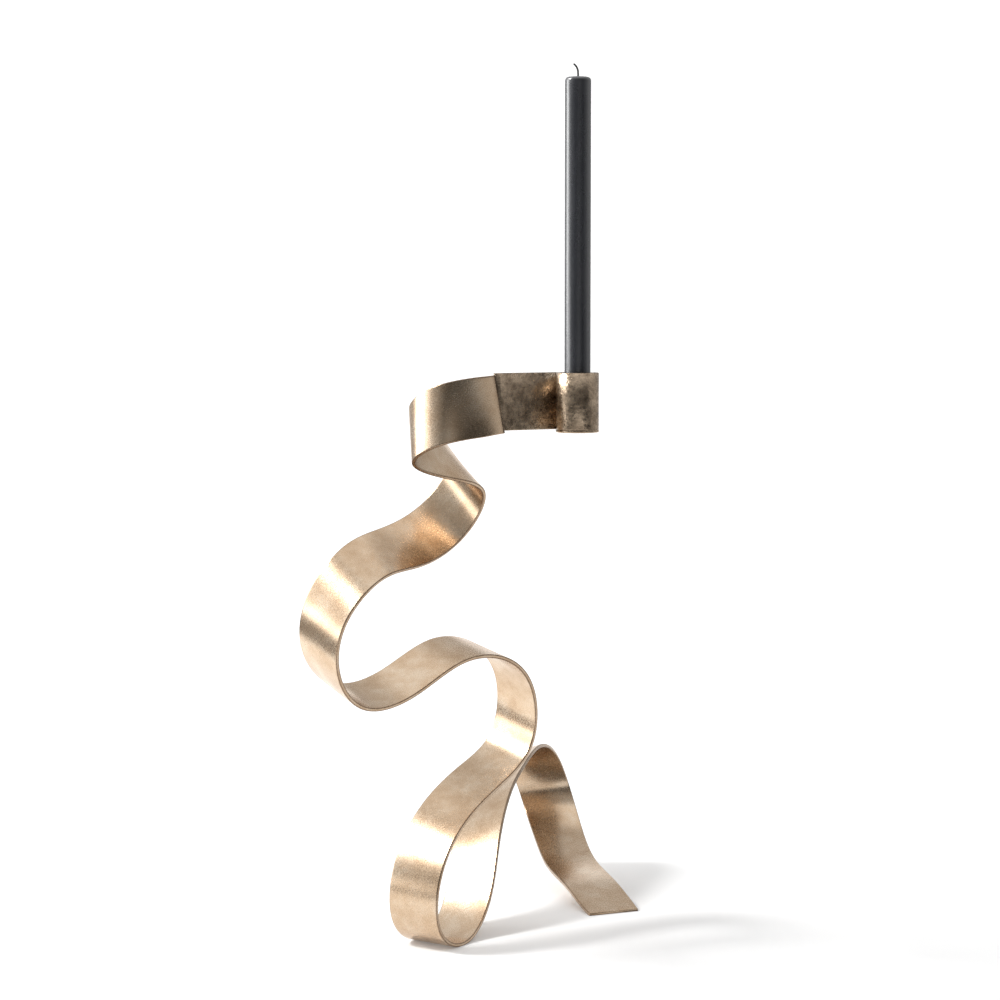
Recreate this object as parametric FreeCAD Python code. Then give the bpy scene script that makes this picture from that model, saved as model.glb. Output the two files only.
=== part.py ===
# Spiral candle holder: one long metal strip, stood on edge, that runs from a
# foot on the table through a deep arch, a standing loop and a rising snake of
# bends up to a rolled cup, which holds a slim dinner candle.
#
# Millimetres, +Z up. The origin is the middle of the small flat that is ground
# under the standing loop. +X is to the right of the front view, +Y is away
# from the viewer.

import FreeCAD
import Part
import math
import os

from FreeCAD import Vector

# The strip, from the foot to the seam
course_height = 512.0
strip_width = 50.2
neck_width = 49.2
strip_thickness = 3.5
strip_edge_ease = 0.7
ground_depth = 0.4
seam_trim = 3.0

# The rolled cup
roll_height = 48.0
roll_thickness = 3.3
roll_turn_gap = 0.15
seam_lead = 6.0
seam_rise = 1.45
cup_reach_right = 65.5
cup_reach_back = 19.3

# The disc that closes the cup from below
base_radius = 18.2
base_thickness = 2.2
base_bevel = 0.9

# The candle
candle_diameter = 22.0
candle_length = 295.0
candle_shoulder = 3.2
candle_foot_bevel = 0.8
candle_clearance = 0.3

# The wick
wick_width = 1.4
wick_straight = 3.5
wick_bend_radius = 9.0

# Angles, in degrees
wick_bend_angle = 55.0
cup_arrival_angle = 115.0
tuck_start_angle = 275.0
tuck_end_angle = 350.0
roll_end_angle = 598.0

# How finely the curves are followed
strip_stations = 120
strip_stretches = 24
tuck_steps = 8

# Handles of the strip's centre line, from the foot to the seam. Each row holds
# the place to the right, to the back and up, as shares of course_height, and
# then the way the strip's width points there: its turn about the vertical and
# its lean above the level, both in degrees.
course_shares = [
    # The foot strip, low over the table, going away from the viewer
    (0.312, 0.216, 0.002, -156, 0),
    (0.298, 0.248, 0.012, -160, -4),
    (0.272, 0.318, 0.038, -161, 0),
    (0.238, 0.440, 0.040, -169, -3),
    (0.218, 0.554, 0.076, -169, 2),
    # The far end of the arch
    (0.196, 0.642, 0.140, -175, -20),
    (0.168, 0.602, 0.232, 166, -15),
    # Over the top of the arch and back towards the viewer
    (0.134, 0.494, 0.258, 167, -18),
    (0.108, 0.378, 0.238, 162, -18),
    (0.080, 0.264, 0.210, 158, -21),
    # Down the right wall of the standing loop
    (0.058, 0.162, 0.144, 155, -14),
    (0.050, 0.092, 0.044, 151, -14),
    # The underside of the loop, on the table
    (0.006, 0.010, -0.014, 148, 1),
    (-0.048, -0.074, 0.030, 146, 3),
    # Up the left wall of the loop
    (-0.046, -0.076, 0.136, 149, 0),
    (-0.004, -0.018, 0.228, 149, 7),
    (0.064, 0.068, 0.280, 146, 13),
    # The lower bend, on the right
    (0.132, 0.140, 0.322, 137, 6),
    (0.140, 0.120, 0.440, 133, 11),
    (0.098, 0.064, 0.510, 132, 10),
    # Down and across to the left
    (0.012, -0.018, 0.530, 131, 17),
    (-0.070, -0.062, 0.458, 132, 19),
    # The large bend, on the left
    (-0.156, -0.120, 0.436, 128, 20),
    (-0.202, -0.198, 0.512, 133, 19),
    (-0.194, -0.230, 0.608, 138, 17),
    (-0.122, -0.208, 0.700, 145, 27),
    # Across to the right again, into the small upper bend
    (-0.062, -0.112, 0.700, 152, 41),
    (0.006, -0.046, 0.734, 152, 38),
    (0.068, -0.072, 0.828, 134, 23),
    (0.008, -0.152, 0.862, 116, 51),
    # The upper bend on the left, where the strip turns upright
    (-0.064, -0.220, 0.894, 85, 62),
    (0.004, -0.300, 0.942, 126, 62),
    # Level along the front to the seam
    (0.074, -0.272, 0.947, -136, 82),
    (0.108, -0.272, 0.953, -90, 85),
]
# The last stretch of the course, over which the strip narrows to its neck
neck_share = 0.013
course_degree = 3


def smooth_step(share):
    """A blend from 0 to 1 with level ends."""
    clipped = min(max(share, 0.0), 1.0)
    return clipped * clipped * (3.0 - 2.0 * clipped)


def direction(turn, lean):
    """The unit vector at a turn about the vertical and a lean above the level."""
    flat = math.cos(math.radians(lean))
    return Vector(flat * math.cos(math.radians(turn)),
                  flat * math.sin(math.radians(turn)),
                  math.sin(math.radians(lean)))


def even_spline(handles):
    """A clamped cubic curve with evenly spaced knots over the handles."""
    spans = len(handles) - course_degree
    ends = course_degree + 1
    repeats = [ends] + [1] * (spans - 1) + [ends]
    knots = [index / spans for index in range(spans + 1)]
    curve = Part.BSplineCurve()
    curve.buildFromPolesMultsKnots(handles, repeats, knots, False, course_degree)
    return curve


def course_curves():
    """The strip's centre line and the curve of its width direction."""
    places = [Vector(right * course_height, back * course_height,
                     up * course_height - ground_depth)
              for right, back, up, turn, lean in course_shares]
    widths = [direction(turn, lean) for right, back, up, turn, lean in course_shares]
    return even_spline(places), even_spline(widths)


def strip_frame(centre, width_way, share):
    """The place, heading, width direction and face direction at a share of the course."""
    place, heading = centre.getD1(share)
    heading.normalize()
    across = width_way.value(share)
    across = across - heading * across.dot(heading)
    across.normalize()
    through = heading.cross(across)
    return place, heading, across, through


def section_corners(half_width, half_thickness, ease):
    """The strip's section, with its long edges eased, as across and through pairs."""
    near = half_width - ease
    thin = half_thickness - ease
    return [(-near, half_thickness), (near, half_thickness),
            (half_width, thin), (half_width, -thin),
            (near, -half_thickness), (-near, -half_thickness),
            (-half_width, -thin), (-half_width, thin)]


def seam_place():
    """The seam's place, the strip's heading there in plan and its width direction."""
    centre, width_way = course_curves()
    place, heading, across, through = strip_frame(centre, width_way, 1.0)
    heading.z = 0.0
    heading.normalize()
    return place - heading * seam_trim, heading, across


def beyond_seam(sign):
    """A block that fills the space on one side of the mitre plane.

    The plane stands along the strip's width, halfway between the two headings.
    """
    place, heading, across = seam_place()
    forward = (heading + band_heading_at_seam()) * sign
    forward.normalize()
    side = Vector(-forward.y, forward.x, 0.0)
    reach = strip_width
    corner = place - side * reach - across * reach
    points = [corner, corner + side * (reach + reach)]
    points.append(points[1] + forward * reach)
    points.append(points[0] + forward * reach)
    outline = Part.makePolygon(points + [points[0]])
    return Part.Face(outline).extrude(across * (reach + reach))


def make_ribbon_strip():
    """The whole strip, as ruled faces between rails, cut flat where it stands."""
    centre, width_way = course_curves()
    half_thickness = strip_thickness / 2.0
    rails = [[] for corner in range(8)]
    shares = [station / strip_stations for station in range(strip_stations + 1)]
    for share in shares:
        place, heading, across, through = strip_frame(centre, width_way, share)
        narrowing = smooth_step((share - 1.0 + neck_share) / neck_share)
        width = strip_width + (neck_width - strip_width) * narrowing
        corners = section_corners(width / 2.0, half_thickness, strip_edge_ease)
        for rail, (over, out) in zip(rails, corners):
            rail.append(place + across * over + through * out)
    curves = []
    for rail in rails:
        curve = Part.BSplineCurve()
        curve.interpolate(rail, Parameters=shares)
        curves.append(curve)
    faces = []
    for stretch in range(strip_stretches):
        first = stretch / strip_stretches
        last = (stretch + 1) / strip_stretches
        edges = [curve.toShape(first, last) for curve in curves]
        faces.extend(Part.makeRuledSurface(edges[index - 1], edges[index], 1)
                     for index in range(len(edges)))
    for end in (0, -1):
        ring = [rail[end] for rail in rails]
        faces.append(Part.Face(Part.makePolygon(ring + [ring[0]])))
    shell = Part.makeShell(faces)
    shell.sewShape()
    strip = Part.makeSolid(shell)
    if strip.Volume < 0.0:
        strip.reverse()
    reach = course_height
    under = Part.makeBox(reach + reach, reach + reach, strip_width,
                         Vector(-reach, -reach, -strip_width))
    strip = strip.cut(under)
    return strip.cut(beyond_seam(1.0))


def roll_middle_radii():
    """The middle radii of the outer and the inner turn of the rolled band."""
    inner = candle_diameter / 2.0 + candle_clearance + roll_thickness / 2.0
    return inner + roll_thickness + roll_turn_gap, inner


def cup_axis():
    """The cup's axis at the lower edge of the roll."""
    place, heading, across = seam_place()
    return place + Vector(cup_reach_right, cup_reach_back, seam_rise - roll_height / 2.0)


def arrival():
    """Where the band meets the outer turn, its heading there and the spoke to it."""
    outer, inner = roll_middle_radii()
    angle = math.radians(cup_arrival_angle)
    spoke = Vector(math.cos(angle), math.sin(angle), 0.0)
    return cup_axis() + spoke * outer, Vector(spoke.y, -spoke.x, 0.0), spoke


def band_heading_at_seam():
    """The heading of the arc that leaves the seam and runs into the roll."""
    start, strip_heading, across = seam_place()
    meet, heading, spoke = arrival()
    chord = Vector(meet.x - start.x, meet.y - start.y, 0.0)
    turn = 2.0 * math.atan2(chord.y, chord.x) - math.atan2(heading.y, heading.x)
    return Vector(math.cos(turn), math.sin(turn), 0.0)


def approach_arc_centre():
    """The centre of the arc from the seam to the roll, and its radius."""
    start, strip_heading, across = seam_place()
    meet, heading, spoke = arrival()
    chord = Vector(meet.x - start.x, meet.y - start.y, 0.0)
    radius = chord.Length * chord.Length / (2.0 * chord.dot(spoke))
    return meet - spoke * radius, radius


def roll_radius(turned):
    """The middle radius of the roll after the band has turned by an angle."""
    outer, inner = roll_middle_radii()
    tucked = (turned - tuck_start_angle) / (tuck_end_angle - tuck_start_angle)
    return outer + (inner - outer) * smooth_step(tucked)


def roll_point(turned, offset):
    """A place on one side of the roll after the band has turned by an angle."""
    spoke = direction(cup_arrival_angle - turned, 0.0)
    return cup_axis() + spoke * (roll_radius(turned) + offset)


def roll_arc(first, last, offset):
    """A round stretch of one side of the roll between two angles."""
    middle = (first + last) / 2.0
    return Part.Arc(roll_point(first, offset), roll_point(middle, offset),
                    roll_point(last, offset)).toShape()


def roll_side(offset):
    """One side of the band, from before the seam to the roll's inner end."""
    centre, radius = approach_arc_centre()
    start, strip_heading, across = seam_place()
    first = math.atan2(start.y - centre.y, start.x - centre.x) + seam_lead / radius
    last = math.radians(cup_arrival_angle)
    outward = [direction(math.degrees(angle), 0.0)
               for angle in (first, (first + last) / 2.0, last)]
    approach = [centre + way * (radius + offset) for way in outward]
    tuck_sweep = tuck_end_angle - tuck_start_angle
    tuck = Part.BSplineCurve()
    tuck.interpolate([roll_point(tuck_start_angle + tuck_sweep * step / tuck_steps, offset)
                      for step in range(tuck_steps + 1)])
    edges = [Part.Arc(*approach).toShape(), roll_arc(0.0, tuck_start_angle, offset),
             tuck.toShape(), roll_arc(tuck_end_angle, roll_end_angle, offset)]
    return edges, approach[0], roll_point(roll_end_angle, offset)


def make_cup_roll():
    """The end of the band, bent round the candle in nearly two turns."""
    half = roll_thickness / 2.0
    outer_side, outer_start, outer_end = roll_side(half)
    inner_side, inner_start, inner_end = roll_side(-half)
    ends = [Part.makeLine(outer_end, inner_end), Part.makeLine(inner_start, outer_start)]
    outline = Part.Wire(Part.__sortEdges__(outer_side + inner_side + ends))
    band = Part.Face(outline).extrude(Vector(0.0, 0.0, roll_height))
    return band.cut(beyond_seam(-1.0))


def make_cup_base():
    """The disc under the roll, with its lower edge bevelled."""
    foot = cup_axis() - Vector(0.0, 0.0, base_thickness)
    disc = Part.makeCylinder(base_radius, base_thickness, foot)
    lower = [edge for edge in disc.Edges if edge.BoundBox.ZMax < foot.z + base_thickness / 2.0]
    return disc.makeChamfer(base_bevel, lower)


def make_candle():
    """The candle's body: a slim cylinder with a rounded shoulder."""
    radius = candle_diameter / 2.0
    foot = cup_axis()
    candle = Part.makeCylinder(radius, candle_length, foot)
    rims = [edge for edge in candle.Edges if len(edge.Vertexes) == 1]
    upper = [edge for edge in rims if edge.BoundBox.ZMin > foot.z + candle_length / 2.0]
    candle = candle.makeFillet(candle_shoulder, upper)
    lower = [edge for edge in candle.Edges
             if edge.BoundBox.ZMax < foot.z + candle_foot_bevel / 2.0]
    return candle.makeChamfer(candle_foot_bevel, lower)


def make_wick():
    """The short square braid: straight out of the wax, then bent over to the left."""
    foot = cup_axis() + Vector(0.0, 0.0, candle_length)
    knee = foot + Vector(0.0, 0.0, wick_straight)
    centre = knee + Vector(-wick_bend_radius, 0.0, 0.0)
    half = math.radians(wick_bend_angle / 2.0)
    middle = centre + Vector(math.cos(half), 0.0, math.sin(half)) * wick_bend_radius
    full = math.radians(wick_bend_angle)
    tip = centre + Vector(math.cos(full), 0.0, math.sin(full)) * wick_bend_radius
    path = Part.Wire([Part.makeLine(foot, knee), Part.Arc(knee, middle, tip).toShape()])
    half_width = wick_width / 2.0
    corners = [foot + Vector(right * half_width, back * half_width, 0.0)
               for right, back in ((-1, -1), (1, -1), (1, 1), (-1, 1), (-1, -1))]
    section = Part.makePolygon(corners)
    return path.makePipeShell([section], True, False)


def main():
    """Writes each piece to its own file."""
    os.makedirs("parts", exist_ok=True)
    pieces = {
        "ribbon_strip": make_ribbon_strip(),
        "cup_roll": make_cup_roll(),
        "cup_base": make_cup_base(),
        "candle": make_candle(),
        "wick": make_wick(),
    }
    for name, shape in pieces.items():
        shape.exportStep(f"parts/{name}.step")
        box = shape.BoundBox
        print(name, shape.isValid(), len(shape.Solids), "solid", round(shape.Volume), "mm3",
              [round(value, 2) for value in (box.XMin, box.YMin, box.ZMin,
                                             box.XMax, box.YMax, box.ZMax)])


main()
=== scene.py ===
# The looks of the spiral candle holder: a brushed metal strip, its rough rolled
# cup and a dark dinner candle, on a pale table. Metres, in the model's frame.

import math

import bpy
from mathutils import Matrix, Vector


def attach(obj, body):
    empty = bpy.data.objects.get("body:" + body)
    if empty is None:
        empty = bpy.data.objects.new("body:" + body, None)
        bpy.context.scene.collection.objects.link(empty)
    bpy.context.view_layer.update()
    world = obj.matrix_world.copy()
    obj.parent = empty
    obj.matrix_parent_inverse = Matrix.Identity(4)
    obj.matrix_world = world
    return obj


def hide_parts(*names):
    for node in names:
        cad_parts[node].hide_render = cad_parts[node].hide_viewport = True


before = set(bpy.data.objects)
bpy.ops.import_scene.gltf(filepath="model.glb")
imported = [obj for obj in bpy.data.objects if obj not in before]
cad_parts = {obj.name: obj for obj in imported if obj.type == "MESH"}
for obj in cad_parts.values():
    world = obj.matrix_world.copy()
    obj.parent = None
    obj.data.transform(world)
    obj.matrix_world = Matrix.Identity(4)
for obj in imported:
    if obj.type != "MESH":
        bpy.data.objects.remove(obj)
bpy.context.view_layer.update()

MM = 0.001

# The strip, as built
COURSE_HEIGHT = 512.0 * MM
STRIP_WIDTH = 50.2 * MM
NECK_WIDTH = 49.2 * MM
STRIP_THICKNESS = 3.5 * MM
STRIP_EDGE_RADIUS = 0.7 * MM
GROUND_DEPTH = 0.4 * MM
SEAM_TRIM = 3.0 * MM
NECK_SHARE = 0.013

# Only sections past this share of the course can reach the seam
SEAM_NEAR_SHARE = 0.9

# The cup, as built
ROLL_HEIGHT = 48.0 * MM
ROLL_THICKNESS = 3.3 * MM
ROLL_TURN_GAP = 0.15 * MM
ROLL_EDGE_RADIUS = 0.6 * MM
SEAM_TO_CUP = Vector((65.5 * MM, 19.3 * MM, 1.45 * MM))
CUP_ARRIVAL = 115.0
TUCK_START = 275.0
TUCK_END = 350.0
ROLL_END = 598.0
BASE_RADIUS = 18.2 * MM
BASE_THICKNESS = 2.2 * MM
BASE_BEVEL = 0.9 * MM
BASE_RIM_BREAK = 0.3 * MM

# The candle, 2 mm shorter than built, as the photograph shows it
CANDLE_RADIUS = 11.0 * MM
CANDLE_LENGTH = 293.0 * MM
CANDLE_SHOULDER = 3.2 * MM
CANDLE_FOOT_BEVEL = 0.8 * MM
CANDLE_CLEARANCE = 0.3 * MM
WICK_STRAIGHT = 3.5 * MM
WICK_BEND_RADIUS = 9.0 * MM
WICK_BEND_ANGLE = 55.0

# The wick's three yarns, which lie round its middle line
YARN_COUNT = 3
YARN_RADIUS = 0.46 * MM
YARN_OFFSET = 0.38 * MM
YARN_TURN_LENGTH = 3.2 * MM
YARN_SIDES = 10
YARN_STEPS = 60
WICK_SINK = 0.2 * MM
WICK_TIP_SHARE = 0.15
WICK_TIP_THINNING = 0.35

# Handles of the strip's centre line: right, back and up as shares of
# COURSE_HEIGHT, then the turn and the lean of its width, in degrees
COURSE_SHARES = [
    (0.312, 0.216, 0.002, -156, 0),
    (0.298, 0.248, 0.012, -160, -4),
    (0.272, 0.318, 0.038, -161, 0),
    (0.238, 0.440, 0.040, -169, -3),
    (0.218, 0.554, 0.076, -169, 2),
    (0.196, 0.642, 0.140, -175, -20),
    (0.168, 0.602, 0.232, 166, -15),
    (0.134, 0.494, 0.258, 167, -18),
    (0.108, 0.378, 0.238, 162, -18),
    (0.080, 0.264, 0.210, 158, -21),
    (0.058, 0.162, 0.144, 155, -14),
    (0.050, 0.092, 0.044, 151, -14),
    (0.006, 0.010, -0.014, 148, 1),
    (-0.048, -0.074, 0.030, 146, 3),
    (-0.046, -0.076, 0.136, 149, 0),
    (-0.004, -0.018, 0.228, 149, 7),
    (0.064, 0.068, 0.280, 146, 13),
    (0.132, 0.140, 0.322, 137, 6),
    (0.140, 0.120, 0.440, 133, 11),
    (0.098, 0.064, 0.510, 132, 10),
    (0.012, -0.018, 0.530, 131, 17),
    (-0.070, -0.062, 0.458, 132, 19),
    (-0.156, -0.120, 0.436, 128, 20),
    (-0.202, -0.198, 0.512, 133, 19),
    (-0.194, -0.230, 0.608, 138, 17),
    (-0.122, -0.208, 0.700, 145, 27),
    (-0.062, -0.112, 0.700, 152, 41),
    (0.006, -0.046, 0.734, 152, 38),
    (0.068, -0.072, 0.828, 134, 23),
    (0.008, -0.152, 0.862, 116, 51),
    (-0.064, -0.220, 0.894, 85, 62),
    (0.004, -0.300, 0.942, 126, 62),
    (0.074, -0.272, 0.947, -136, 82),
    (0.108, -0.272, 0.953, -90, 85),
]

CURVE_DEGREE = 3

# How finely the pieces are meshed
STRIP_STATIONS = 900
ACROSS_STEPS = 22
EDGE_STEPS = 4
CORNER_STEPS = 4
EDGE_BAND = 0.6 * MM
TURNED_SIDES = 128
APPROACH_STEPS = 60
ROLL_STEPS = 400
CANDLE_RINGS = 90
BEVEL_STEPS = 6
SHOULDER_STEPS = 12

# Rings that keep a turned piece's flat faces flat, as shares of its radius, and
# the slight dish in the candle's top, as shares of the radius and depths
BASE_UNDER_SHARES = (0.4, 0.8)
BASE_TOP_SHARE = 0.5
CANDLE_FOOT_SHARE = 0.3
CANDLE_DISH = [(0.4, 0.15 * MM), (0.12, 0.05 * MM)]

# Darkening of a section's colour: where its face ends, on its edge, and how much it fades between
RIM_DARKENING = 0.5
EDGE_DARKENING = 1.0
EDGE_DARKENING_FADE = 0.7

# Dark patina along the seam, and the shift of the grain on a piece's inner face
SEAM_PATINA = 3.5 * MM
SEAM_PATINA_LEVEL = 0.9
INNER_GRAIN_SHIFT = 0.1

# Tones of the materials: the place on a ramp, then red, green and blue
STRIP_TONES = [(0.32, (0.585, 0.422, 0.280)), (0.50, (0.680, 0.520, 0.370)),
               (0.66, (0.765, 0.625, 0.478))]
STRIP_MOTTLE = [(0.25, (0.88, 0.86, 0.84)), (0.75, (1.0, 1.0, 1.0))]
# The strip's dark tone, laid on its corners, edges and seam
STRIP_DARKENED_TONE = (0.150, 0.090, 0.055, 1.0)
CUP_TONES = [(0.38, (0.36, 0.270, 0.190)), (0.62, (0.74, 0.575, 0.415))]
CUP_GRAIN = [(0.28, (0.50, 0.50, 0.50)), (0.60, (1.0, 1.0, 1.0))]
# The cup's dark tone, laid on its rims, the seam and its pits
CUP_DARKENED_TONE = (0.080, 0.058, 0.042, 1.0)
WAX_TONES = [(0.3, (0.027, 0.029, 0.035)), (0.7, (0.038, 0.040, 0.047))]
COTTON_TONES = [(0.3, (0.010, 0.010, 0.011)), (0.7, (0.040, 0.038, 0.036))]
TABLE_TONES = [(0.3, (0.84, 0.84, 0.84)), (0.7, (0.86, 0.86, 0.86))]
WHITE = (1.0, 1.0, 1.0, 1.0)
CUP_GRAIN_SHARE = 0.9
PIT_DARKNESS = 0.6

# The grain of brushed metal and of yarn: how often it varies along and across. The
# wax's clouds are drawn out upwards.
BRUSH_GRAIN = (500.0, 2600.0, 1.0)
CROSS_GRAIN = (2200.0, 600.0, 1.0)
YARN_GRAIN = (4000.0, 14.0, 1.0)
WAX_CLOUD_STRETCH = (1.0, 1.0, 0.25)

# The cup's face bulges: the height of its flattest ring as a share of the roll,
# the bulge below it, and how much more it falls off above
BULGE_SHARE = 0.42
BULGE = -2.6
BULGE_ABOVE = 2.6

# The table: its sides, its front edge, where it widens, and the sweep at its back
TABLE_LEFT = -0.75
TABLE_RIGHT = 0.95
TABLE_FRONT = -1.3
TABLE_WIDENS = 0.3
TABLE_BACK = 2.2
TABLE_BACK_WIDER = 0.45
SWEEP_WIDER = 0.6
SWEEP_RADIUS = 0.8
SWEEP_STEPS = 12
BACKDROP_TOP = 1.5

# The table's own glow rises from near to far
GLOW_SPAN = (0.2, 2.4)
GLOW_LEVELS = (0.14, 0.62)

# Lamps: name, place, target, width, height and watts
LAMPS = [
    ("left_key", (-1.72, -0.14, 1.90), (0.0, 0.0, 0.05), 0.50, 0.50, 48.0),
    ("left_panel", (-1.95, -0.16, 1.28), (0.0, 0.0, 0.60), 1.02, 2.3, 8.5),
    ("left_low_panel", (-1.93, -0.46, 0.33), (0.0, 0.0, 0.35), 0.80, 0.40, 2.6),
    ("candle_panel", (-1.85, 0.40, 0.92), (0.0, 0.0, 0.60), 0.95, 0.90, 12.5),
    ("top_softbox", (0.1, 0.0, 2.5), (0.0, 0.0, 0.3), 2.0, 2.0, 6.5),
]

# The room's light: the way to each glow, the cosines at its rim and its core,
# and the level it adds. The first one covers the whole room.
ROOM_GLOWS = [
    ((0.0, 0.0, 1.0), -1.0, -0.99, 0.35),
    ((-0.97, 0.12, 0.45), 0.50, 0.97, 0.14),
    ((-0.60, 0.55, 0.60), 0.70, 0.97, 0.28),
    ((0.0, 0.35, 1.0), 0.3, 0.95, 0.28),
    ((-0.1, 1.0, 0.3), 0.5, 0.95, 0.20),
    ((1.0, 0.15, 0.6), 0.5, 0.95, 0.30),
    ((0.15, -1.0, 0.30), 0.62, 0.85, -0.21),
    ((0.86, -0.5, 0.05), 0.84, 0.95, -0.24),
    ((-0.5, -0.85, -0.05), 0.88, 0.96, -0.16),
    ((0.0, -0.62, 0.78), 0.80, 0.96, 0.35),
    ((0.1, -1.0, -0.70), 0.80, 0.93, 0.80),
]
ROOM_LEAST = 0.07

# The photograph's view
CAMERA_PLACE = Vector((53.0 * MM, -2354.0 * MM, 573.9 * MM))
CAMERA_PITCH = 4.3
FOCAL_PIXELS = 2668.3
FRAME_PIXELS = 1000.0
SENSOR_WIDTH = 36.0
FARTHEST_SEEN = 20.0


# Curves and small maths

def smooth_step(share):
    clipped = min(max(share, 0.0), 1.0)
    return clipped * clipped * (3.0 - 2.0 * clipped)


def direction(turn, lean=0.0):
    flat = math.cos(math.radians(lean))
    return Vector((flat * math.cos(math.radians(turn)),
                   flat * math.sin(math.radians(turn)),
                   math.sin(math.radians(lean))))


def spline_point(handles, share):
    """A clamped cubic curve with evenly spaced knots over the handles."""
    spans = len(handles) - CURVE_DEGREE
    place = min(max(share, 0.0), 1.0) * spans
    span = min(int(place), spans - 1)
    order = CURVE_DEGREE + 1
    knots = [min(max(index - CURVE_DEGREE, 0), spans) for index in range(len(handles) + order)]
    points = [handles[span + index].copy() for index in range(order)]
    for level in range(1, order):
        for index in range(CURVE_DEGREE, level - 1, -1):
            low = knots[span + index]
            high = knots[span + index + order - level]
            mix = (place - low) / (high - low) if high > low else 0.0
            points[index] = points[index - 1] * (1.0 - mix) + points[index] * mix
    return points[CURVE_DEGREE]


COURSE_PLACES = [Vector((row[0] * COURSE_HEIGHT, row[1] * COURSE_HEIGHT,
                         row[2] * COURSE_HEIGHT - GROUND_DEPTH)) for row in COURSE_SHARES]
COURSE_WIDTHS = [direction(row[3], row[4]) for row in COURSE_SHARES]


def strip_frame(share):
    """The place, heading, width way and face way at a share of the course."""
    step = 1.0e-4
    low = max(share - step, 0.0)
    high = min(share + step, 1.0)
    heading = (spline_point(COURSE_PLACES, high) - spline_point(COURSE_PLACES, low)).normalized()
    across = spline_point(COURSE_WIDTHS, share)
    across = (across - heading * across.dot(heading)).normalized()
    return spline_point(COURSE_PLACES, share), heading, across, heading.cross(across)


def rounded_section(half_width, half_thickness, radius):
    """Points round a flat bar's section with rounded corners: across, out, darkening."""
    near = half_width - radius
    thin = half_thickness - radius
    inner = near - EDGE_BAND
    points = [(-near, half_thickness, RIM_DARKENING)]
    for step in range(ACROSS_STEPS + 1):
        points.append((-inner + 2.0 * inner * step / ACROSS_STEPS, half_thickness, 0.0))
    for step in range(CORNER_STEPS):
        share = step / CORNER_STEPS
        angle = math.pi / 2.0 * (1.0 - share)
        points.append((near + radius * math.cos(angle), thin + radius * math.sin(angle),
                       RIM_DARKENING + share))
    for step in range(EDGE_STEPS):
        share = step / EDGE_STEPS
        darkening_level = EDGE_DARKENING - EDGE_DARKENING_FADE * math.sin(math.pi * share)
        points.append((half_width, thin - 2.0 * thin * share, darkening_level))
    for step in range(CORNER_STEPS):
        share = step / CORNER_STEPS
        angle = -math.pi / 2.0 * share
        points.append((near + radius * math.cos(angle), -thin + radius * math.sin(angle),
                       RIM_DARKENING + EDGE_DARKENING - share))
    return points + [(-across, -out, darkening) for across, out, darkening in points]


def add_mesh(name, points, faces, uvs=None, darkening=None):
    mesh = bpy.data.meshes.new(name)
    mesh.from_pydata([tuple(point) for point in points], [], faces)
    mesh.update()
    if uvs is not None:
        layer = mesh.uv_layers.new(name="lay")
        for loop in mesh.loops:
            layer.data[loop.index].uv = uvs[loop.vertex_index]
    if darkening is not None:
        mesh.attributes.new("darkening", "FLOAT", "POINT").data.foreach_set("value", darkening)
    mesh.polygons.foreach_set("use_smooth", [True] * len(mesh.polygons))
    piece = bpy.data.objects.new(name, mesh)
    bpy.context.scene.collection.objects.link(piece)
    return piece


def skin_sections(name, sections, uvs, darkening):
    """A tube of quads over rings of points, with a flat cap at each end."""
    count = len(sections[0])
    points = [point for section in sections for point in section]
    faces = []
    for ring in range(len(sections) - 1):
        for index in range(count):
            after = (index + 1) % count
            faces.append((ring * count + index, ring * count + after,
                          (ring + 1) * count + after, (ring + 1) * count + index))
    last = (len(sections) - 1) * count
    faces.append(tuple(range(count - 1, -1, -1)))
    faces.append(tuple(range(last, last + count)))
    return add_mesh(name, points, faces, uvs, darkening)


def lathe(name, profile):
    """A turned piece on the cup's axis: its profile is pairs of radius and height."""
    points = []
    uvs = []
    faces = []
    for radius, height in profile:
        for side in range(TURNED_SIDES):
            way = direction(360.0 * side / TURNED_SIDES)
            points.append(CUP_AXIS + way * radius + Vector((0.0, 0.0, height)))
            uvs.append((side / TURNED_SIDES, height))
    for ring in range(len(profile) - 1):
        low = ring * TURNED_SIDES
        high = low + TURNED_SIDES
        for side in range(TURNED_SIDES):
            after = (side + 1) % TURNED_SIDES
            faces.append((low + side, low + after, high + after, high + side))
    faces.append(tuple(range(TURNED_SIDES - 1, -1, -1)))
    last = (len(profile) - 1) * TURNED_SIDES
    faces.append(tuple(range(last, last + TURNED_SIDES)))
    return add_mesh(name, points, faces, uvs)


# Where the strip ends and the rolled band starts

INNER_TURN_RADIUS = CANDLE_RADIUS + CANDLE_CLEARANCE + ROLL_THICKNESS / 2.0
OUTER_TURN_RADIUS = INNER_TURN_RADIUS + ROLL_THICKNESS + ROLL_TURN_GAP
END_PLACE, END_HEADING, SEAM_RISE_WAY = strip_frame(1.0)[:3]
STRIP_HEADING = Vector((END_HEADING.x, END_HEADING.y, 0.0)).normalized()
SEAM = END_PLACE - STRIP_HEADING * SEAM_TRIM
CUP_AXIS = SEAM + SEAM_TO_CUP - Vector((0.0, 0.0, ROLL_HEIGHT / 2.0))


def seam_geometry():
    """The approach arc's centre and radius, the band's heading and the mitre's normal."""
    spoke = direction(CUP_ARRIVAL)
    meet = CUP_AXIS + spoke * OUTER_TURN_RADIUS
    chord = Vector((meet.x - SEAM.x, meet.y - SEAM.y, 0.0))
    radius = chord.length_squared / (2.0 * chord.dot(spoke))
    arrive = math.atan2(-spoke.x, spoke.y)
    leave = 2.0 * math.atan2(chord.y, chord.x) - arrive
    band_heading = Vector((math.cos(leave), math.sin(leave), 0.0))
    forward = (STRIP_HEADING + band_heading).normalized()
    level = Vector((-forward.y, forward.x, 0.0))
    normal = level.cross(SEAM_RISE_WAY).normalized()
    if normal.dot(forward) < 0.0:
        normal = -normal
    return meet - spoke * radius, radius, band_heading, normal


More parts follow.
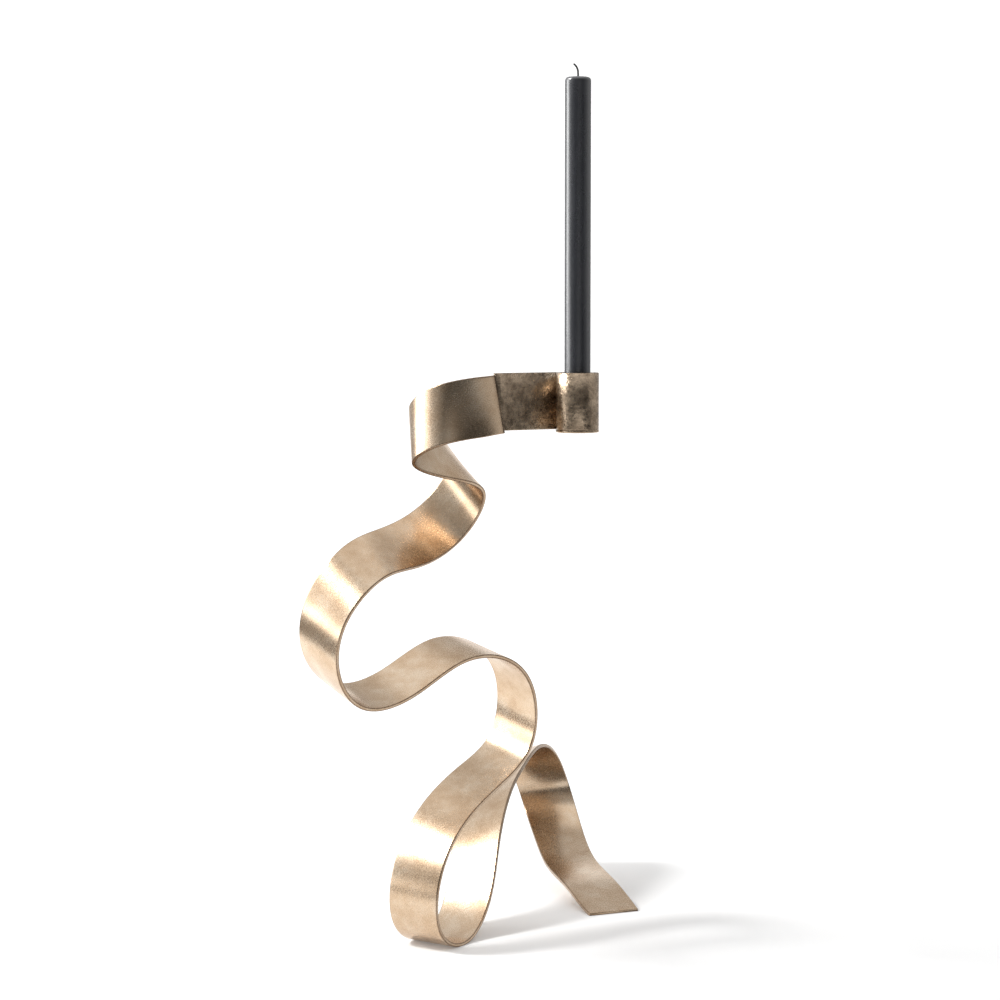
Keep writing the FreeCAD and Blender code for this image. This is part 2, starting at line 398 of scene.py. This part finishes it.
ARC_CENTRE, ARC_RADIUS, BAND_HEADING, SEAM_NORMAL = seam_geometry()


def slid_to_seam(point, heading, sign, always):
    """Slides a point along its heading to the mitre plane, if it lies past it or always."""
    past = (point - SEAM).dot(SEAM_NORMAL) * sign
    if past > 0.0 or always:
        point = point - heading * sign * past / heading.dot(SEAM_NORMAL)
    return point


def seam_wear(point):
    """Dark patina that fades out on both sides of the mitred seam."""
    off = abs((point - SEAM).dot(SEAM_NORMAL))
    near = (point - SEAM).length < STRIP_WIDTH
    if not near or off >= SEAM_PATINA:
        return 0.0
    return SEAM_PATINA_LEVEL * (1.0 - off / SEAM_PATINA)


def make_strip():
    sections = []
    uvs = []
    darkening = []
    run = 0.0
    before = None
    for station in range(STRIP_STATIONS + 1):
        share = station / STRIP_STATIONS
        place, heading, across, out = strip_frame(share)
        if before is not None:
            run += (place - before).length
        before = place
        narrowing = smooth_step((share - 1.0 + NECK_SHARE) / NECK_SHARE)
        width = STRIP_WIDTH + (NECK_WIDTH - STRIP_WIDTH) * narrowing
        last = share > SEAM_NEAR_SHARE and (place - SEAM).dot(SEAM_NORMAL) > 0.0
        ring = []
        for over, through, darkening_level in rounded_section(width / 2.0, STRIP_THICKNESS / 2.0,
                                                   STRIP_EDGE_RADIUS):
            point = place + across * over + out * through
            point.z = max(point.z, 0.0)
            if share > SEAM_NEAR_SHARE:
                point = slid_to_seam(point, heading, 1.0, last)
            ring.append(point)
            uvs.append((run, over + (INNER_GRAIN_SHIFT if through < 0.0 else 0.0)))
            darkening.append(max(darkening_level, seam_wear(point)))
        sections.append(ring)
        if last:
            break
    return skin_sections("strip", sections, uvs, darkening)


def roll_path():
    """Middle points of the band in plan, each with its outward way."""
    start = math.degrees(math.atan2(SEAM.y - ARC_CENTRE.y, SEAM.x - ARC_CENTRE.x))
    path = []
    for step in range(APPROACH_STEPS):
        angle = start + (CUP_ARRIVAL - start) * step / APPROACH_STEPS
        way = direction(angle)
        path.append((ARC_CENTRE + way * ARC_RADIUS, way))
    for step in range(ROLL_STEPS + 1):
        turned = ROLL_END * step / ROLL_STEPS
        way = direction(CUP_ARRIVAL - turned)
        tucked = smooth_step((turned - TUCK_START) / (TUCK_END - TUCK_START))
        radius = OUTER_TURN_RADIUS + (INNER_TURN_RADIUS - OUTER_TURN_RADIUS) * tucked
        path.append((CUP_AXIS + way * radius, way))
    return path


def make_cup():
    middle = CUP_AXIS.z + ROLL_HEIGHT / 2.0
    sections = []
    uvs = []
    darkening = []
    run = 0.0
    before = None
    for place, way in roll_path():
        if before is not None:
            run += (place - before).length
        before = place
        ring = []
        for over, through, darkening_level in rounded_section(ROLL_HEIGHT / 2.0, ROLL_THICKNESS / 2.0,
                                                   ROLL_EDGE_RADIUS):
            point = Vector((place.x, place.y, middle + over)) + way * through
            point = slid_to_seam(point, BAND_HEADING, -1.0, not sections)
            ring.append(point)
            uvs.append((run, over + (INNER_GRAIN_SHIFT if through < 0.0 else 0.0)))
            darkening.append(max(darkening_level, seam_wear(point)))
        sections.append(ring[::-1])
        uvs[-len(ring):] = uvs[-len(ring):][::-1]
        darkening[-len(ring):] = darkening[-len(ring):][::-1]
    return skin_sections("cup", sections, uvs, darkening)


def make_base():
    low = -BASE_THICKNESS
    profile = [(share * BASE_RADIUS, low) for share in BASE_UNDER_SHARES]
    for step in range(BEVEL_STEPS + 1):
        angle = math.pi / 2.0 * step / BEVEL_STEPS
        profile.append((BASE_RADIUS - BASE_BEVEL + BASE_BEVEL * math.sin(angle),
                        low + BASE_BEVEL - BASE_BEVEL * math.cos(angle)))
    profile += [(BASE_RADIUS, -BASE_RIM_BREAK), (BASE_RADIUS - BASE_RIM_BREAK, 0.0),
                (BASE_TOP_SHARE * BASE_RADIUS, 0.0)]
    return lathe("cup_floor", profile)


def make_candle():
    top = CANDLE_LENGTH
    profile = [(CANDLE_FOOT_SHARE * CANDLE_RADIUS, 0.0),
               (CANDLE_RADIUS - CANDLE_FOOT_BEVEL, 0.0),
               (CANDLE_RADIUS, CANDLE_FOOT_BEVEL)]
    low = 2.0 * CANDLE_FOOT_BEVEL
    high = top - CANDLE_SHOULDER
    for ring in range(CANDLE_RINGS + 1):
        profile.append((CANDLE_RADIUS, low + (high - low) * ring / CANDLE_RINGS))
    for step in range(1, SHOULDER_STEPS + 1):
        angle = math.pi / 2.0 * step / SHOULDER_STEPS
        profile.append((CANDLE_RADIUS - CANDLE_SHOULDER + CANDLE_SHOULDER * math.cos(angle),
                        high + CANDLE_SHOULDER * math.sin(angle)))
    for share, depth in CANDLE_DISH:
        profile.append((share * CANDLE_RADIUS, top - depth))
    return lathe("candle_wax", profile)


def wick_place(run):
    """The wick's middle line at a run from its foot, and its tilt there."""
    foot = CUP_AXIS + Vector((0.0, 0.0, CANDLE_LENGTH - WICK_SINK))
    straight = WICK_STRAIGHT + WICK_SINK
    if run < straight:
        return foot + Vector((0.0, 0.0, run)), 0.0
    tilt = (run - straight) / WICK_BEND_RADIUS
    return foot + Vector((-WICK_BEND_RADIUS * (1.0 - math.cos(tilt)), 0.0,
                          straight + WICK_BEND_RADIUS * math.sin(tilt))), tilt


def make_wick():
    """A cotton wick: three yarns laid round one bent line."""
    length = WICK_STRAIGHT + WICK_SINK + math.radians(WICK_BEND_ANGLE) * WICK_BEND_RADIUS
    deep_way = Vector((0.0, 1.0, 0.0))
    points = []
    faces = []
    uvs = []
    for yarn in range(YARN_COUNT):
        first = len(points)
        for step in range(YARN_STEPS + 1):
            run = length * step / YARN_STEPS
            place, tilt = wick_place(run)
            side_way = Vector((math.cos(tilt), 0.0, math.sin(tilt)))
            spin = 2.0 * math.pi * (yarn / YARN_COUNT + run / YARN_TURN_LENGTH)
            hub = place + (side_way * math.cos(spin) + deep_way * math.sin(spin)) * YARN_OFFSET
            tip = (run / length - 1.0 + WICK_TIP_SHARE) / WICK_TIP_SHARE
            fat = YARN_RADIUS * (1.0 - WICK_TIP_THINNING * smooth_step(tip))
            for side in range(YARN_SIDES):
                angle = 2.0 * math.pi * side / YARN_SIDES
                points.append(hub + (side_way * math.cos(angle) + deep_way * math.sin(angle)) * fat)
                uvs.append((run, side / YARN_SIDES))
        for step in range(YARN_STEPS):
            for side in range(YARN_SIDES):
                after = (side + 1) % YARN_SIDES
                low = first + step * YARN_SIDES
                faces.append((low + side, low + after,
                              low + YARN_SIDES + after, low + YARN_SIDES + side))
        last = first + YARN_STEPS * YARN_SIDES
        faces.append(tuple(first + side for side in range(YARN_SIDES - 1, -1, -1)))
        faces.append(tuple(last + side for side in range(YARN_SIDES)))
    return add_mesh("wick_cotton", points, faces, uvs)


# Materials

class Shader:
    """A small helper that builds a node material."""

    def __init__(self, name):
        self.material = bpy.data.materials.new(name)
        self.material.use_nodes = True
        self.tree = self.material.node_tree
        self.surface = self.tree.nodes["Principled BSDF"]

    def add(self, kind, inputs=None, **settings):
        node = self.tree.nodes.new(kind)
        for key, value in settings.items():
            setattr(node, key, value)
        for key, value in (inputs or {}).items():
            if isinstance(value, bpy.types.NodeSocket):
                self.tree.links.new(value, node.inputs[key])
            else:
                node.inputs[key].default_value = value
        return node

    def link(self, socket, key):
        self.tree.links.new(socket, self.surface.inputs[key])

    def set(self, **values):
        for key, value in values.items():
            self.surface.inputs[key.replace("_", " ")].default_value = value

    def noise(self, vector, scale, detail=2.0, rough=0.5):
        node = self.add("ShaderNodeTexNoise", {"Vector": vector, "Scale": scale,
                                               "Detail": detail, "Roughness": rough})
        return node.outputs["Fac"]

    def ramp(self, socket, stops):
        node = self.add("ShaderNodeValToRGB", {"Fac": socket})
        line = node.color_ramp.elements
        while len(line) < len(stops):
            line.new(0.5)
        for element, (place, colour) in zip(line, stops):
            element.position = place
            element.color = colour if len(colour) == 4 else (*colour, 1.0)
        return node.outputs["Color"]

    def between(self, socket, span, levels=(0.0, 1.0)):
        """Maps a span of values to a span of levels, and stops at its ends."""
        node = self.add("ShaderNodeMapRange", {"Value": socket,
                                               "From Min": span[0], "From Max": span[1],
                                               "To Min": levels[0], "To Max": levels[1]})
        return node.outputs["Result"]

    def maths(self, how, one, two):
        node = self.add("ShaderNodeMath", {0: one, 1: two}, operation=how)
        return node.outputs[0]

    def mix(self, how, factor, one, two):
        node = self.add("ShaderNodeMixRGB", {"Fac": factor, "Color1": one, "Color2": two},
                        blend_type=how)
        return node.outputs["Color"]

    def stretch(self, socket, scale):
        node = self.add("ShaderNodeMapping", {"Vector": socket, "Scale": scale})
        return node.outputs["Vector"]

    def bump(self, socket, strength, distance, under=None):
        inputs = {"Height": socket, "Strength": strength, "Distance": distance}
        if under is not None:
            inputs["Normal"] = under
        return self.add("ShaderNodeBump", inputs).outputs["Normal"]


def strip_material():
    """Pale bronze, wire-brushed, with fine mottling and darker colour on its corners and edges."""
    shade = Shader("brushed_bronze")
    lay = shade.add("ShaderNodeUVMap", uv_map="lay").outputs["UV"]
    place = shade.add("ShaderNodeTexCoord").outputs["Object"]
    brush = shade.noise(shade.stretch(lay, BRUSH_GRAIN), scale=1.0)
    cross = shade.noise(shade.stretch(lay, CROSS_GRAIN), scale=1.0)
    cloud = shade.noise(place, scale=38.0, detail=5.0, rough=0.65)
    mottle = shade.noise(place, scale=900.0)
    tone = shade.ramp(cloud, STRIP_TONES)
    tone = shade.mix("MULTIPLY", 1.0, tone, shade.ramp(mottle, STRIP_MOTTLE))
    tone = shade.mix("MULTIPLY", 1.0, tone, shade.ramp(brush, STRIP_MOTTLE))
    # Darker colour on the corners and edges, and the patina along the seam, as the mesh's attribute
    # gives it
    darkening_level = shade.add("ShaderNodeAttribute", attribute_name="darkening").outputs["Fac"]
    ragged = shade.maths("MULTIPLY", darkening_level, shade.between(mottle, span=(0.3, 0.7),
                                                         levels=(0.6, 1.3)))
    dark = shade.between(ragged, span=(0.1, 1.2), levels=(0.0, 0.85))
    tone = shade.mix("MIX", dark, tone, STRIP_DARKENED_TONE)
    shade.link(tone, "Base Color")
    rough = shade.between(mottle, span=(0.2, 0.8), levels=(0.22, 0.30))
    rough = shade.maths("ADD", rough, shade.between(brush, span=(0.3, 0.7), levels=(-0.04, 0.04)))
    shade.link(rough, "Roughness")
    normal = shade.bump(brush, strength=0.30, distance=0.05 * MM)
    normal = shade.bump(cross, strength=0.22, distance=0.05 * MM, under=normal)
    normal = shade.bump(mottle, strength=0.12, distance=0.07 * MM, under=normal)
    shade.link(normal, "Normal")
    shade.set(Metallic=1.0)
    return shade.material


def cup_material():
    """The same bronze, left rough and uneven, with darker hollows and small pits."""
    shade = Shader("rough_bronze")
    place = shade.add("ShaderNodeTexCoord").outputs["Object"]
    height = shade.add("ShaderNodeSeparateXYZ", {"Vector": place}).outputs["Z"]
    off_ring = shade.maths("SUBTRACT", height, CUP_AXIS.z + BULGE_SHARE * ROLL_HEIGHT)
    above = shade.maths("MAXIMUM", off_ring, 0.0)
    more = shade.maths("MULTIPLY", shade.maths("MULTIPLY", above, above), BULGE_ABOVE)
    bulge = shade.maths("ADD", shade.maths("MULTIPLY", off_ring, off_ring), more)
    bulge = shade.maths("MULTIPLY", bulge, BULGE)
    swell = shade.noise(place, scale=26.0)
    cloud = shade.noise(place, scale=75.0, detail=4.0, rough=0.6)
    grain = shade.noise(place, scale=330.0, detail=5.0, rough=0.7)
    speck = shade.noise(place, scale=800.0, detail=3.0, rough=0.6)
    tone = shade.ramp(cloud, CUP_TONES)
    tone = shade.mix("MULTIPLY", CUP_GRAIN_SHARE, tone, shade.ramp(grain, CUP_GRAIN))
    pits = shade.between(speck, span=(0.66, 0.74))
    # Darker colour on the cup's rims, and the patina along the seam, as the mesh's attribute gives
    # it
    darkening_level = shade.add("ShaderNodeAttribute", attribute_name="darkening").outputs["Fac"]
    dark = shade.maths("MAXIMUM", shade.maths("MULTIPLY", pits, PIT_DARKNESS),
                       shade.between(darkening_level, span=(0.2, 1.4), levels=(0.0, 0.7)))
    tone = shade.mix("MIX", dark, tone, CUP_DARKENED_TONE)
    shade.link(tone, "Base Color")
    shade.link(shade.between(grain, span=(0.3, 0.7), levels=(0.20, 0.36)), "Roughness")
    normal = shade.bump(bulge, strength=1.0, distance=1.0)
    normal = shade.bump(swell, strength=0.35, distance=6.0 * MM, under=normal)
    normal = shade.bump(cloud, strength=0.5, distance=1.4 * MM, under=normal)
    normal = shade.bump(grain, strength=0.5, distance=0.4 * MM, under=normal)
    normal = shade.bump(pits, strength=0.5, distance=-0.3 * MM, under=normal)
    shade.link(normal, "Normal")
    shade.set(Metallic=1.0)
    return shade.material


def wax_material():
    """Dark grey candle wax with a satin skin and faint cloudiness."""
    shade = Shader("dark_wax")
    place = shade.add("ShaderNodeTexCoord").outputs["Object"]
    cloud = shade.noise(shade.stretch(place, WAX_CLOUD_STRETCH), scale=60.0, detail=4.0, rough=0.6)
    grain = shade.noise(place, scale=900.0)
    wave = shade.noise(place, scale=90.0)
    shade.link(shade.ramp(cloud, WAX_TONES), "Base Color")
    shade.link(shade.between(cloud, span=(0.3, 0.7), levels=(0.20, 0.32)), "Roughness")
    normal = shade.bump(wave, strength=0.30, distance=0.8 * MM)
    normal = shade.bump(grain, strength=0.03, distance=0.08 * MM, under=normal)
    shade.link(normal, "Normal")
    shade.set(Metallic=0.0, IOR=1.7, Coat_Weight=0.6, Coat_Roughness=0.20, Coat_IOR=1.7)
    return shade.material


def wick_material():
    """Black waxed cotton."""
    shade = Shader("black_cotton")
    lay = shade.add("ShaderNodeUVMap", uv_map="lay").outputs["UV"]
    yarn = shade.noise(shade.stretch(lay, YARN_GRAIN), scale=1.0, detail=3.0, rough=0.6)
    shade.link(shade.ramp(yarn, COTTON_TONES), "Base Color")
    shade.link(shade.bump(yarn, strength=0.6, distance=0.1 * MM), "Normal")
    shade.set(Roughness=0.75)
    return shade.material


# The studio

def floor_material():
    """A white table top that keeps the object's soft shadow."""
    shade = Shader("white_table")
    place = shade.add("ShaderNodeTexCoord").outputs["Object"]
    cloud = shade.noise(place, scale=6.0, detail=3.0)
    shade.link(shade.ramp(cloud, TABLE_TONES), "Base Color")
    shade.set(Roughness=0.9, Specular_IOR_Level=0.1)
    path = shade.add("ShaderNodeLightPath")
    seen = shade.maths("MAXIMUM", path.outputs["Is Camera Ray"], path.outputs["Is Glossy Ray"])
    seen = shade.maths("MAXIMUM", seen, path.outputs["Is Transmission Ray"])
    back = shade.add("ShaderNodeSeparateXYZ", {"Vector": place}).outputs["Y"]
    rising = shade.between(back, span=GLOW_SPAN, levels=GLOW_LEVELS)
    shade.link(shade.maths("MULTIPLY", seen, rising), "Emission Strength")
    shade.set(Emission_Color=WHITE)
    return shade.material


def make_floor():
    """A white table top that widens to the back and rises there in a gentle sweep."""
    profile = [(TABLE_FRONT, 0.0, 0.0), (TABLE_WIDENS, 0.0, 0.0),
               (TABLE_BACK, 0.0, TABLE_BACK_WIDER)]
    for step in range(1, SWEEP_STEPS + 1):
        angle = math.pi / 2.0 * step / SWEEP_STEPS
        profile.append((TABLE_BACK + SWEEP_RADIUS * math.sin(angle),
                        SWEEP_RADIUS * (1.0 - math.cos(angle)), SWEEP_WIDER))
    profile.append((TABLE_BACK + SWEEP_RADIUS, BACKDROP_TOP, SWEEP_WIDER))
    points = []
    faces = []
    for back, up, wider in profile:
        points.append(Vector((TABLE_LEFT - wider, back, up)))
        points.append(Vector((TABLE_RIGHT + wider, back, up)))
    for index in range(len(profile) - 1):
        low = 2 * index
        faces.append((low, low + 1, low + 3, low + 2))
    floor = add_mesh("table_top", points, faces)
    floor.data.materials.append(floor_material())


def add_lamp(name, place, target, width, height, power):
    data = bpy.data.lights.new(name, "AREA")
    data.shape = "RECTANGLE"
    data.size = width
    data.size_y = height
    data.energy = power
    lamp = bpy.data.objects.new(name, data)
    lamp.location = place
    lamp.rotation_euler = (Vector(target) - Vector(place)).to_track_quat("-Z", "Y").to_euler()
    bpy.context.scene.collection.objects.link(lamp)


def make_world():
    """A dim studio: soft glows round and above the table, and dark patches in front."""
    world = bpy.data.worlds.new("studio")
    bpy.context.scene.world = world
    world.use_nodes = True
    tree = world.node_tree
    tree.nodes.clear()
    way = tree.nodes.new("ShaderNodeTexCoord").outputs["Generated"]
    total = None
    for toward, rim, core, gain in ROOM_GLOWS:
        facing = tree.nodes.new("ShaderNodeVectorMath")
        facing.operation = "DOT_PRODUCT"
        facing.inputs[1].default_value = Vector(toward).normalized()
        tree.links.new(way, facing.inputs[0])
        spread = tree.nodes.new("ShaderNodeMapRange")
        spread.interpolation_type = "SMOOTHSTEP"
        spread.inputs["From Min"].default_value = rim
        spread.inputs["From Max"].default_value = core
        spread.inputs["To Max"].default_value = gain
        tree.links.new(facing.outputs["Value"], spread.inputs["Value"])
        level = spread.outputs["Result"]
        if total is not None:
            sum_up = tree.nodes.new("ShaderNodeMath")
            tree.links.new(total, sum_up.inputs[0])
            tree.links.new(level, sum_up.inputs[1])
            level = sum_up.outputs[0]
        total = level
    least = tree.nodes.new("ShaderNodeMath")
    least.operation = "MAXIMUM"
    least.inputs[1].default_value = ROOM_LEAST
    tree.links.new(total, least.inputs[0])
    light = tree.nodes.new("ShaderNodeBackground")
    tree.links.new(least.outputs[0], light.inputs["Strength"])
    out = tree.nodes.new("ShaderNodeOutputWorld")
    tree.links.new(light.outputs[0], out.inputs["Surface"])


def make_camera():
    data = bpy.data.cameras.new("photo_view")
    data.sensor_fit = "HORIZONTAL"
    data.sensor_width = SENSOR_WIDTH
    data.lens = SENSOR_WIDTH * FOCAL_PIXELS / FRAME_PIXELS
    data.clip_end = FARTHEST_SEEN
    camera = bpy.data.objects.new("photo_view", data)
    camera.location = CAMERA_PLACE
    camera.rotation_euler = (math.radians(90.0 - CAMERA_PITCH), 0.0, 0.0)
    bpy.context.scene.collection.objects.link(camera)
    bpy.context.scene.camera = camera


def make_studio():
    make_floor()
    make_world()
    for lamp in LAMPS:
        add_lamp(*lamp)
    make_camera()
    bpy.context.scene.view_settings.view_transform = "Standard"


def dress(piece, body, material, nodes):
    piece.data.materials.append(material)
    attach(piece, body)
    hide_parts(*nodes)


def main():
    dress(make_strip(), "stand", strip_material(), ["ribbon_strip"])
    rough = cup_material()
    dress(make_cup(), "stand", rough, ["cup_roll"])
    dress(make_base(), "stand", rough, ["cup_base"])
    dress(make_candle(), "candle", wax_material(), ["candle"])
    dress(make_wick(), "candle", wick_material(), ["wick"])
    make_studio()


main()
